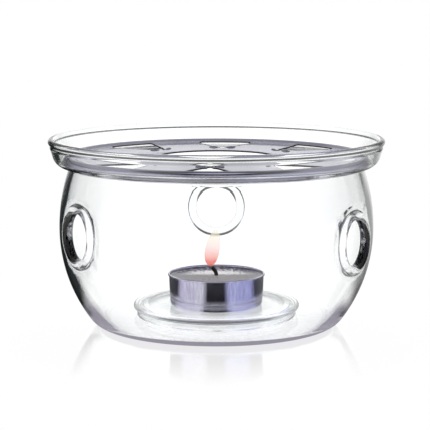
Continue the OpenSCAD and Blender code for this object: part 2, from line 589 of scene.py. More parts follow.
@dataclass(frozen=True)
class ParaffinWax(Finish):
    """Paraffin: speckled grey at the front; towards the back a painted white highlight fades to painted shade
    at the cup's wall, all with a faint painted glow.
    """

    name: str = "paraffin"
    # painted highlight in the middle, fading to painted shade at the cup's wall
    painted_highlight_to_shade: tuple[tuple[float, str], ...] = ((0.0, "f6f5f4"), (0.45, "b4b2b6"), (1.0, "5c5a62"))
    grain: tuple[tuple[float, str], ...] = ((0.35, "868486"), (0.7, "a8a6a9"))
    grain_per_m: float = 900.0
    # distances from the origin over which the painted highlight fades to painted shade
    painted_shade_reach: tuple[float, float] = (0.0275, 0.031)
    painted_shade_wander: float = 0.012
    # the line along Y behind which the painted highlight lies
    painted_highlight_line: tuple[float, float] = (0.004, 0.0105)
    painted_highlight_line_wander: float = 0.009
    roughness: tuple[float, float] = (0.6, 0.12)
    bumps: float = 0.4
    bumps_rise: float = 0.0003
    # painted glow: emission in the wax's own colours, which lightens it as light would
    glow: float = 0.5
    ior: float = 1.44

    def shade(self, tree: Tree, shader: Node, output: Node, place: Socket) -> None:
        """Sets the wax up: a ragged line across Y, behind which the painted highlight lies, and a ragged ring
        where it fades to painted shade.
        """
        node = partial(add_node, tree)
        grain, front_grey = add_tones(tree, place, self.grain_per_m, 4.0, self.grain)
        reach = node("ShaderNodeVectorMath", {"operation": "LENGTH"}, {0: place})
        ragged = {0: grain, 1: self.painted_shade_wander, 2: reach.outputs["Value"]}
        edge = node("ShaderNodeMath", {"operation": "MULTIPLY_ADD"}, ragged).outputs[0]
        values = {"Value": edge, 1: self.painted_shade_reach[0], 2: self.painted_shade_reach[1]}
        zone = node("ShaderNodeMapRange", values=values).outputs[0]
        # painted highlight fading to painted shade at the cup's wall
        ramp = [(level, linear(code)) for level, code in self.painted_highlight_to_shade]
        painted_highlight_to_shade = node("ShaderNodeValToRGB", values={0: zone}, stops=ramp).outputs[0]
        wander = {0: grain, 1: self.painted_highlight_line_wander, 2: -self.painted_highlight_line_wander / 2}
        sway = node("ShaderNodeMath", {"operation": "MULTIPLY_ADD"}, wander).outputs[0]
        behind = node("ShaderNodeSeparateXYZ", values={0: place}).outputs["Y"]
        line = node("ShaderNodeMath", {"operation": "ADD"}, {0: behind, 1: sway}).outputs[0]
        # the side behind the line, which takes the painted highlight
        values = {"Value": line, 1: self.painted_highlight_line[0], 2: self.painted_highlight_line[1]}
        painted_highlight_side = node("ShaderNodeMapRange", values=values).outputs[0]
        both = node("ShaderNodeMix", {"data_type": "RGBA"}, {0: painted_highlight_side, 6: front_grey, 7: painted_highlight_to_shade})
        values = {"Value": painted_highlight_side, 3: self.roughness[0], 4: self.roughness[1]}
        bumps = {"Strength": self.bumps, "Distance": self.bumps_rise, "Height": grain}
        values = {
            "Base Color": both.outputs[2],
            # painted glow in the same colours
            "Emission Color": both.outputs[2],
            "Emission Strength": self.glow,
            "Roughness": node("ShaderNodeMapRange", values=values).outputs[0],
            "Normal": node("ShaderNodeBump", values=bumps).outputs[0],
            "IOR": self.ior,
        }
        fill(tree, shader, values)


@dataclass(frozen=True)
class CandleFlame(Finish):
    """A small flame: red-orange at the wick, thin and pale towards the tip, yellow at its top."""

    name: str = "candle_flame"
    low: float = 0.0222
    high: float = 0.0370
    stops: tuple[tuple[float, str, float], ...] = (
        (0.0, "f07058", 0.5),
        (0.1, "f0604e", 0.62),
        (0.28, "f79a8c", 0.5),
        (0.55, "fcdcd8", 0.4),
        (0.85, "fff3d8", 0.35),
        (1.0, "fff8e0", 0.1),
    )

    def shade(self, tree: Tree, shader: Node, output: Node, place: Socket) -> None:
        """Sets the glow up: colour and cover by height."""
        node = partial(add_node, tree)
        height = node("ShaderNodeSeparateXYZ", values={0: place}).outputs["Z"]
        values = {"Value": height, 1: self.low, 2: self.high}
        rise = node("ShaderNodeMapRange", values=values).outputs[0]
        colours = [(level, linear(code)) for level, code, _ in self.stops]
        covers = [(level, grey(alpha)) for level, _, alpha in self.stops]
        colour = node("ShaderNodeValToRGB", values={0: rise}, stops=colours)
        cover = node("ShaderNodeValToRGB", values={0: rise}, stops=covers)
        values = {
            "Base Color": grey(0.0),
            "Specular IOR Level": 0.0,
            "Emission Color": colour.outputs[0],
            "Emission Strength": 1.0,
            "Alpha": cover.outputs[0],
        }
        fill(tree, shader, values)


# The bowl


@dataclass(frozen=True)
class Vent:
    """A round hole in the bowl with a bead of glass round it."""

    direction: float
    height: float

    def frame(self, reach: float) -> Matrix:
        """The vent's own axes: X to the side, Y up, Z out of the bowl, from its centre."""
        turn = Matrix.Rotation(math.radians(self.direction), 4, "Z")
        out = turn @ Vector((1, 0, 0))
        side = turn @ Vector((0, 1, 0))
        axes = Matrix((side, (0, 0, 1), out)).transposed().to_4x4()
        return Matrix.Translation(out * reach + Vector((0, 0, self.height))) @ axes


@dataclass
class WarmerBowl:
    """The blown bowl: foot, belly, neck, collar and rim in one wall, with three vents."""

    belly_r: float = 60.9
    belly_z: float = 38.2
    lower_arc: float = 58.0
    lower_arc_inside: float = 52.5
    upper_arc: float = 73.0
    wall: float = 2.3
    floor_t: float = 3.0
    foot_round: float = 9.0
    floor_round: float = 2.0
    collar_reach: float = 58.4
    collar_z: float = 67.4
    collar_arc: float = 5.0
    crease_arc: float = 0.9
    ledge_round: float = 0.8
    flare: float = 17.0
    flare_l: float = 5.8
    rim_bead: float = 1.235
    rim_wall: float = 1.7
    rim_neck: float = 1.9
    vents: tuple[Vent, ...] = (Vent(-150, 38.6), Vent(-30, 36.4), Vent(90, 37.5))
    vent_reach: float = 59.0
    vent_r: float = 10.5
    vent_bead: float = 2.0
    bead_span: tuple[float, float] = (22.0, 296.0)
    bead_steps: int = 22
    melt_rings: int = 4
    melt_free: float = 1.2
    melt_smooth: float = 3.4
    steps: int = 192
    window: int = 8
    grid: float = 2.0
    vent_band: tuple[float, float] = (6.0, 60.0)
    wall_side: float = 0.75

    def centres(self) -> tuple[Vector, Vector, Vector, Vector, Vector]:
        """Finds the centres of the wall's arcs.

        Returns:
            Those of the lower arcs outside and inside, the upper arc, the collar's arc and the crease.
        """
        lower = Vector((self.belly_r - self.lower_arc, self.belly_z))
        lower_inside = Vector((self.belly_r - self.wall - self.lower_arc_inside, self.belly_z))
        upper = Vector((self.belly_r - self.upper_arc, self.belly_z))
        collar = Vector((self.collar_reach, self.collar_z))
        crease = crossing(
            upper, self.upper_arc + self.crease_arc, collar, self.collar_arc + self.crease_arc
        )
        return lower, lower_inside, upper, collar, crease

    def outlines(self) -> tuple[list[Point], list[Point]]:
        """Draws the wall.

        Returns:
            Its outside, from the middle of the foot up, and its inside, down from the rim.
        """
        lower, lower_inside, upper, collar, crease = self.centres()
        foot = corner_in(lower, self.lower_arc, 0.0, self.foot_round)
        floor = corner_in(lower_inside, self.lower_arc_inside, self.floor_t, self.floor_round)
        neck = angle_of(crease - upper)
        ledge = angle_of(crease - collar)
        across, upward = along(-self.flare), along(90 - self.flare)
        rim = collar + self.collar_arc * across + self.flare_l * upward - self.wall / 2 * across
        wrap = math.degrees(math.acos(self.rim_wall / 2 / self.rim_bead))
        ledge_z = collar.y - self.collar_arc + self.wall
        corner_z = ledge_z + self.ledge_round
        corner_x = collar.x + (corner_z - collar.y) * math.tan(math.radians(self.flare))
        corner_x += (self.collar_arc - self.wall - self.ledge_round) / math.cos(math.radians(self.flare))
        inner_corner = Vector((corner_x, corner_z))
        neck_mid = rim - self.rim_neck * upward
        neck_out = neck_mid + self.wall / 2 * across
        neck_in = neck_mid - self.wall / 2 * across
        foot_a = angle_of(foot - lower)
        floor_a = angle_of(floor - lower_inside)
        outside = [
            *straight((0, 0), (foot.x, 0), 8),
            *arc(foot, self.foot_round, -90, foot_a, 10),
            *arc(lower, self.lower_arc, foot_a, 0, self.count(self.lower_arc, foot_a)),
            *arc(upper, self.upper_arc, 0, neck, self.count(self.upper_arc, neck)),
            *arc(crease, self.crease_arc, neck + 180, ledge + 180, 8),
            *arc(collar, self.collar_arc, ledge, -self.flare, 12),
            *straight(collar + self.collar_arc * across, neck_out, 6)[1:],
            *arc(rim, self.rim_bead, -self.flare - wrap, 90, 14),
        ]
        inside = [
            *arc(rim, self.rim_bead, 90, 180 - self.flare + wrap, 12),
            *straight(neck_in, inner_corner + self.ledge_round * across, 6)[:-1],
            *arc(inner_corner, self.ledge_round, -self.flare, -90, 8),
            *arc(collar, self.collar_arc - self.wall, -90, ledge, 5),
            *arc(crease, self.crease_arc + self.wall, ledge + 180, neck + 180, 10),
            *arc(upper, self.upper_arc - self.wall, neck, 0, self.count(self.upper_arc, neck)),
            *arc(lower_inside, self.lower_arc_inside, 0, floor_a, self.count(self.lower_arc_inside, floor_a)),
            *arc(floor, self.floor_round, floor_a, -90, 6),
            *straight((floor.x, self.floor_t), (0, self.floor_t), 8),
        ]
        return without_repeats(outside), without_repeats(inside)

    def count(self, radius: float, degrees: float) -> int:
        """Stretches of an arc about as long as the wall's faces are wide."""
        return max(1, round(abs(math.radians(degrees)) * radius / self.grid))

    def wall_radius(self, height: float, outer: bool) -> float:
        """Finds how far out the wall is between the foot and the neck.

        Args:
            height: The height.
            outer: True for its outside.

        Returns:
            The radius.
        """
        lower, lower_inside, upper, _, _ = self.centres()
        if height > self.belly_z:
            centre, radius = upper, self.upper_arc - (0 if outer else self.wall)
        elif outer:
            centre, radius = lower, self.lower_arc
        else:
            centre, radius = lower_inside, self.lower_arc_inside
        return centre.x + math.sqrt(radius**2 - (height - centre.y) ** 2)

    def window_rows(self, outline: list[Point], vent: Vent) -> tuple[float, float]:
        """Finds a vent's window on the outline's own points.

        Args:
            outline: The wall's outline, outside or inside.
            vent: The vent.

        Returns:
            The window's lowest and highest height.
        """
        low, high = self.vent_band
        heights = sorted(z for x, z in outline if x > self.belly_r * self.wall_side and low < z < high)
        nearest = min(range(len(heights)), key=lambda i: abs(heights[i] - vent.height))
        return heights[nearest - self.window], heights[nearest + self.window]

    def in_window(self, c: Vector, vent: Vent, rows: tuple[float, float], outer: bool) -> bool:
        """Tells whether a point lies in a vent's window.

        Args:
            c: The point.
            vent: The vent.
            rows: The window's lowest and highest height.
            outer: True for the wall's outside.

        Returns:
            True if it does.
        """
        near = abs(math.hypot(c.x, c.y) - self.wall_radius(c.z, outer)) < self.wall / 2
        half_turn = self.window * math.tau / self.steps
        return rows[0] < c.z < rows[1] and abs(off_turn(c, math.radians(vent.direction))) < half_turn and near

    def open_vent(self, bm: Mesh, vent: Vent, outside: list[Point], inside: list[Point]) -> None:
        """Opens one vent in the wall and melts its bead onto the edge.

        Args:
            bm: The bowl's mesh.
            vent: The vent.
            outside: The wall's outline outside.
            inside: The wall's outline inside.
        """
        loops = []
        for outline, outer in ((outside, True), (inside, False)):
            rows = self.window_rows(outline, vent)
            loops.append(cut_window(bm, partial(self.in_window, vent=vent, rows=rows, outer=outer)))
        frame = vent.frame(self.vent_reach)
        section = arc((0, 0), self.vent_bead, *self.bead_span, self.bead_steps)
        profile = [bm.verts.new((self.vent_r + x, 0, z)) for x, z in section]
        edges = [bm.edges.new(pair) for pair in zip(profile, profile[1:])]
        bmesh.ops.spin(
            bm,
            geom=[*profile, *edges],
            cent=(0, 0, 0),
            axis=(0, 0, 1),
            angle=math.tau,
            steps=8 * self.window,
            use_merge=True,
        )
        bead = self.connected(profile[0])
        bmesh.ops.transform(bm, matrix=frame, verts=bead)
        rims = [e for v in bead for e in v.link_edges if len(e.link_faces) == 1]
        to_vent = frame.inverted()
        front = [e for e in dict.fromkeys(rims) if all((to_vent @ v.co).z > 0 for v in e.verts)]
        back = [e for e in dict.fromkeys(rims) if all((to_vent @ v.co).z < 0 for v in e.verts)]
        for loop, rim, outer in ((loops[0], front, True), (loops[1], back, False)):
            rings = bridge(bm, loop, rim, self.melt_rings)
            for v in rings:
                radius = self.wall_radius(v.co.z, outer)
                scale = radius / math.hypot(v.co.x, v.co.y)
                if (to_vent @ v.co).xy.length > self.vent_r + self.vent_bead + self.melt_free:
                    v.co.x *= scale
                    v.co.y *= scale
            painted_highlight_side = self.vent_r + self.melt_smooth
            around = dict.fromkeys([*rings, *loop_verts(rim)])
            near = [v for v in around if (to_vent @ v.co).xy.length < painted_highlight_side]
            bmesh.ops.smooth_vert(
                bm, verts=near, factor=0.5, use_axis_x=True, use_axis_y=True, use_axis_z=True
            )

    def connected(self, start: Vert) -> list[Vert]:
        """Finds all vertices that edges join to one.

        Args:
            start: The one.

        Returns:
            All of them, with the one first.
        """
        found, todo = {start: True}, [start]
        while todo:
            for v in loop_verts(todo.pop().link_edges):
                if v not in found:
                    found[v] = True
                    todo.append(v)
        return list(found)

    def build(self, glass: Material) -> Piece:
        """Builds and dresses the bowl.

        Args:
            glass: Its material.

        Returns:
            The bowl.
        """
        outside, inside = self.outlines()
        bm = bmesh.new()
        revolve(bm, [*outside, *inside[1:]], self.steps)
        for vent in self.vents:
            self.open_vent(bm, vent, outside, inside)
        bowl = finished(bm, "glass_bowl_blown")
        dress(bowl, glass)
        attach(bowl, Body.WARMER.value)
        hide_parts("glass_bowl")
        return bowl


# The candle dish


@dataclass
class CandleDish:
    """The pressed glass seat on the bowl's floor."""

    floor: float = 3.0
    foot_r: float = 31.4
    neck_r: float = 30.5
    wall: float = 1.4
    recess_z: float = 6.8
    thickness: float = 1.4
    recess_r: float = 26.3
    lip_r: float = 32.6
    lip_round: float = 1.1
    lip_inner_round: float = 0.7
    lip_rise: float = 0.9
    lip_end: float = 190.0
    inside_round: float = 0.4
    outside_round: float = 0.35
    seal: float = 0.02

    def build(self, glass: Material) -> Piece:
        """Builds and dresses the dish.

        Args:
            glass: Its material.

        Returns:
            The dish.
        """
        under = self.recess_z - self.thickness
        lip_z = self.recess_z + self.lip_rise
        inner = Vector((self.recess_r + self.lip_inner_round, lip_z - self.lip_inner_round))
        outer = Vector((self.lip_r - self.lip_round, under + self.lip_round))
        slope = side_angle(outer, self.lip_round, inner, self.lip_inner_round)
        inside_x = self.neck_r - self.wall - self.inside_round
        outside_x = self.neck_r + self.outside_round
        outline = [
            *straight((0, under), (inside_x, under), 6),
            *arc((inside_x, under - self.inside_round), self.inside_round, 90, 0, 4),
            (self.foot_r - self.wall, self.floor + self.seal),
            (self.foot_r, self.floor + self.seal),
            *arc((outside_x, under - self.outside_round), self.outside_round, 180, 90, 4),
            *arc(outer, self.lip_round, -90, slope, 12),
            *arc(inner, self.lip_inner_round, slope, self.lip_end, 10),
            *straight((self.recess_r - self.inside_round, self.recess_z), (0, self.recess_z), 6),
        ]
        bm = bmesh.new()
        revolve(bm, without_repeats(outline), 160)
        dish = finished(bm, "candle_dish_pressed", 60)
        dress(dish, glass)
        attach(dish, Body.WARMER.value)
        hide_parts("candle_dish")
        return dish


# The support plate


@dataclass
class SupportPlate:
    """The pressed steel plate: eight openings, a centre hole and a raised edge."""

    level: float = 65.6
    sheet: float = 0.6
    hole_r: float = 23.0
    crest_r: float = 57.0
    crest_rise: float = 1.3
    crest_arc: float = 2.4
    crest_slope: float = 25.0
    skirt_slope: float = 60.0
    skirt_l: float = 0.5
    openings: int = 8
    turn: float = -4.0
    opening_r: float = 54.0
    opening_half: float = 10.0
    corner: float = 1.5
    apex: float = 37.4
    apex_r: float = 3.4
    notch_w: float = 2.0
    notch_end: float = 31.0
    rib_l: float = 4.0
    rib_w: float = 1.2
    rib_h: float = 0.5
    rib_lean: tuple[float, float] = (0.35, 1.0)
    rib_shift: float = 0.35
    steps: int = 192
    window: int = 8
    window_in: float = 2.5
    window_out: float = 1.2
    upturn_reach: float = 6.0
    outer_step: float = 1.2
    edge_round: float = 0.12
    edge_bend: float = 40.0

    def rows(self) -> tuple[list[float], list[float], list[float]]:
        """Lays out the sheet's rings.

        Returns:
            Their radii inside, across and outside the openings' windows.
        """
        start = self.notch_end - self.window_in
        inner = [self.hole_r + (start - self.hole_r) * i / 4 for i in range(5)]
        turn_up = self.crest_r - self.upturn_reach
        across = [start + (turn_up - start) * i / 10 for i in range(11)]
        across += [turn_up + (self.opening_r + self.window_out - turn_up) * i / 6 for i in range(1, 7)]
        crest_end = self.crest_r + self.crest_arc * math.cos(math.radians(90 - self.skirt_slope))
        last = across[-1]
        outer = [last + (crest_end - last) * i / 10 for i in range(1, 11)]
        outer.append(crest_end + self.skirt_l * math.cos(math.radians(self.skirt_slope)))
        return inner, across, outer

    def height(self, radius: float) -> float:
        """Finds how high the sheet's top is.

        Args:
            radius: The radius.

        Returns:
            The height there.
        """
        slope = math.radians(self.crest_slope)
        upturn = self.crest_rise / (1 - math.cos(slope)) - self.crest_arc
        upturn_r = self.crest_r - (self.crest_arc + upturn) * math.sin(slope)
        crest_z = self.level + self.crest_rise - self.crest_arc
        crest_start = self.crest_r - self.crest_arc * math.sin(slope)
        crest_end = self.crest_r + self.crest_arc * math.sin(math.radians(self.skirt_slope))
        if radius <= upturn_r:
            return self.level
        if radius <= crest_start:
            return self.level + upturn - math.sqrt(upturn**2 - (radius - upturn_r) ** 2)
        crest_x = min(radius, crest_end) - self.crest_r
        arc_z = crest_z + math.sqrt(self.crest_arc**2 - crest_x**2)
        return arc_z - max(0.0, radius - crest_end) * math.tan(math.radians(self.skirt_slope))

    def opening(self) -> list[Point]:
        """Draws the opening along +X with its notch.

        Returns:
            Its outline, in as many points as its window has.
        """
        outer = (self.opening_r - self.corner) * along(self.opening_half)
        low = Vector((outer.x, -outer.y))
        side = side_angle(Vector((self.apex, 0)), self.apex_r, low, self.corner)
        half = self.notch_w / 2
        mouth = self.apex - math.sqrt(self.apex_r**2 - half**2)
        mouth_a = 180 - math.degrees(math.asin(half / self.apex_r))
        tip = self.notch_end + half
        upper_start = Vector((self.apex, 0)) + self.apex_r * along(-side)
        upper_end = outer + self.corner * along(-side)
        upper = [
            *arc((tip, 0), half, 180, 90, 3),
            (mouth, half),
            *arc((self.apex, 0), self.apex_r, mouth_a, -side, 4)[1:],
            *straight(upper_start, upper_end, 13)[1:],
            *arc(outer, self.corner, -side, self.opening_half, 4)[1:],
            *arc((0, 0), self.opening_r, self.opening_half - self.outer_step, 0, 7),
        ]
        lower = [(x, -y) for x, y in reversed(upper[1:-1])]
        return [*upper, *lower]

    def in_window(self, c: Vector, middle: float, rows: tuple[float, float]) -> bool:
        """Tells whether a point lies in an opening's window.

        Args:
            c: The point.
            middle: The opening's direction, in radians.
            rows: The window's inner and outer radius.

        Returns:
            True if it does.
        """
        half_turn = self.window * math.tau / self.steps
        return rows[0] < c.xy.length < rows[1] and abs(off_turn(c, middle)) < half_turn

    def build_sheet(self) -> Mesh:
        """Cuts the flat sheet with its openings, before it is pressed and turned.

        Returns:
            The sheet's mesh.
        """
        inner, across, outer = self.rows()
        bm = bmesh.new()
        revolve(bm, [(r, 0.0) for r in (*inner, *across[1:], *outer)], self.steps)
        for i in range(self.openings):
            middle = math.tau * i / self.openings
            rows = (across[0], across[-1])
            rim = cut_window(bm, partial(self.in_window, middle=middle, rows=rows))
            turned = Matrix.Rotation(middle, 4, "Z")
            verts = [bm.verts.new(turned @ Vector((x, y, 0))) for x, y in self.opening()]
            edges = [bm.edges.new(pair) for pair in zip(verts, [*verts[1:], verts[0]])]
            bridge(bm, rim, edges, 3)
        return bm

    def build(self, steel: Material, sheared: Material) -> list[Piece]:
        """Builds and dresses the plate and its ribs.

        Args:
            steel: Their material.
            sheared: The material of the sheet's cut edges.

        Returns:
            The plate and its ribs.
        """
        own_turn = Matrix.Rotation(math.radians(90 + self.turn), 4, "Z")
        bm = self.build_sheet()
        for v in bm.verts:
            v.co.z = self.height(v.co.xy.length)
        bmesh.ops.transform(bm, matrix=own_turn, verts=bm.verts)
        bmesh.ops.recalc_face_normals(bm, faces=bm.faces)
        if sum(f.normal.z for f in bm.faces) < 0:
            bmesh.ops.reverse_faces(bm, faces=bm.faces)
        plate = finished(bm, "support_plate_pressed", recalculate=False)
        solid = plate.modifiers.new("sheet", "SOLIDIFY")
        solid.thickness = self.sheet * MM
        solid.offset = -1.0
        solid.material_offset_rim = 1
        edge = plate.modifiers.new("edge", "BEVEL")
        edge.width = self.edge_round * MM
        edge.segments = 2
        edge.limit_method = "ANGLE"
        edge.angle_limit = math.radians(self.edge_bend)
        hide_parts("support_plate")
        ribs = self.build_ribs(own_turn)
        dress(plate, steel, sheared)
        dress(ribs, steel)
        for piece in (plate, ribs):
            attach(piece, Body.PLATE.value)
        return [plate, ribs]

    def build_ribs(self, own_turn: Matrix) -> Piece:
        """Builds the pairs of small pressed ribs beside the notches.

        Args:
            own_turn: The plate's turn.

        Returns:
            The ribs, as one piece.
        """
        bm = bmesh.new()
        start = Vector((self.notch_end + self.notch_w, self.notch_w / 2 + self.rib_w, 0))
        lean = Vector((*self.rib_lean, 0)).normalized()
        middle = start + lean * self.rib_l * self.rib_shift
        size = Matrix.Diagonal((self.rib_l / 2, self.rib_w / 2, self.rib_h, 1))
        for i in range(self.openings):
            for side in (-1, 1):
                place = Vector((middle.x, side * middle.y, self.level))
                heading = math.atan2(side * lean.y, lean.x)
                matrix = (
                    own_turn
                    @ Matrix.Rotation(math.tau * i / self.openings, 4, "Z")
                    @ Matrix.Translation(place)
                    @ Matrix.Rotation(heading, 4, "Z")
                    @ size
                )
                bmesh.ops.create_uvsphere(bm, u_segments=20, v_segments=10, radius=1.0, matrix=matrix)
        return finished(bm, "plate_ribs")


# The tealight


@dataclass
class Tealight:
    """The aluminium cup, its wax, and the small flame on the wick."""

    cup_z: float = 6.8
    cup_r: float = 19.0
    cup_h: float = 12.8
    cup_t: float = 0.3
    cup_round: float = 1.4
    curl: float = 0.45
    draft: float = 0.4
    wax_drop: float = 1.8
    fit: float = 0.02
    sag: float = 0.05
    meniscus: float = 0.7
    meniscus_w: float = 3.0
    meniscus_in: float = 0.15
    mound_r: float = 3.0
    mound_h: float = 1.5
    mound_power: float = 2.2
    mound_gap: float = 0.2
    steps: int = 128
    flame_z: float = 22.0
    flame_h: float = 15.0
    flame_r: float = 2.9
    flame_x: float = -2.3
    flame_lean: float = 2.2
    flame_curl: float = 1.5
    flame_widths: tuple[float, ...] = (
        *(0.5, 0.74, 0.86, 0.94, 0.99, 1.0, 0.99),
        *(0.97, 0.93, 0.87, 0.78, 0.64, 0.42),
    )

    @property
    def top(self) -> float:
        """Height of the cup's rim."""
        return self.cup_z + self.cup_h

    def build_cup(self, aluminium: Material) -> Piece:
        """Builds and dresses the drawn cup with its curled rim.

        Args:
            aluminium: Its material.

        Returns:
            The cup.
        """
        wall_r = self.cup_r - self.curl
        foot_r = wall_r - self.draft
        corner = (foot_r - self.cup_round, self.cup_z + self.cup_round)
        curl_c = (wall_r, self.top - self.curl)
        meets = 180 + math.degrees(math.acos(self.cup_t / self.curl))
        curl = arc(curl_c, self.curl, -90, meets, 20)
        foot = arc(corner, self.cup_round, -90, 0, 8)
        foot_in = arc(corner, self.cup_round - self.cup_t, 0, -90, 6)
        outline = [
            *straight((0, self.cup_z), foot[0], 5),
            *foot,
            *straight(foot[-1], curl[0], 5),
            *curl,
            *straight(curl[-1], foot_in[0], 5),
            *foot_in,
            *straight(foot_in[-1], (0, self.cup_z + self.cup_t), 5),
        ]
        bm = bmesh.new()
        revolve(bm, without_repeats(outline), self.steps)
        cup = finished(bm, "tealight_cup_drawn", 50)
        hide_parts("tealight_cup")
        return self.placed(cup, aluminium)

    def build_wax(self, wax: Material) -> Piece:
        """Builds and dresses the wax, which climbs the cup's wall a little.

        Args:
            wax: Its material.

        Returns:
            The wax.
        """
        level = self.top - self.wax_drop - self.sag
        inner = self.cup_r - self.curl - self.cup_t - self.fit
        foot_r = inner - self.draft
        corner = (foot_r - self.cup_round + self.cup_t, self.cup_z + self.cup_round)
        floor = self.cup_z + self.cup_t + self.fit
        foot = inner - self.meniscus_w
        run = self.meniscus_w - self.meniscus_in
        climb = [(foot + run * t, level + self.meniscus * t**3) for t in (i / 8 for i in range(9))]
        outline = [
            *straight((0, floor), (corner[0], floor), 3),
            *arc(corner, self.cup_round - self.cup_t - self.fit, -90, 0, 5),
            *reversed(climb),
            *straight(climb[0], (self.mound_r + self.mound_gap, level), 5),
            *self.mound(level),
        ]
        bm = bmesh.new()
        revolve(bm, without_repeats(outline), self.steps)
        piece = finished(bm, "tealight_wax_set", 60)
        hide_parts("tealight_wax")
        return self.placed(piece, wax)

    def mound(self, level: float) -> list[Point]:
        """Draws the wax that has climbed the wick's foot.

        Args:
            level: Height of the wax round it.

        Returns:
            The outline from its edge to the axis.
        """
        parts = (i / 8 for i in range(1, 9))
        return [(self.mound_r * (1 - t), level + self.mound_h * t**self.mound_power) for t in parts]

    def build_flame(self, glow: Material) -> Piece:
        """Builds and dresses the flame: a drop that leans as it rises.

        Args:
            glow: Its material.

        Returns:
            The flame.
        """
        count = len(self.flame_widths) + 1
        outline = [(0.0, 0.0)]
        outline += [
            (self.flame_r * w, self.flame_h * i / count) for i, w in enumerate(self.flame_widths, start=1)
        ]
        outline.append((0.0, self.flame_h))
        bm = bmesh.new()
        revolve(bm, outline, 32)
        for v in bm.verts:
            rise = v.co.z / self.flame_h
            v.co.x += self.flame_x + self.flame_lean * rise**self.flame_curl
            v.co.z += self.flame_z
        flame = finished(bm, "candle_flame")
        subdivided = flame.modifiers.new("soft", "SUBSURF")
        subdivided.levels = 1
        subdivided.render_levels = 1
        return self.placed(flame, glow)

    def placed(self, piece: Piece, material: Material) -> Piece:
        """Dresses a piece of the tealight and lets it ride on the tealight's body.

        Args:
            piece: The piece.
            material: Its material.

        Returns:
            The piece.
        """
        dress(piece, material)
        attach(piece, Body.TEALIGHT.value)
        return piece


# The studio


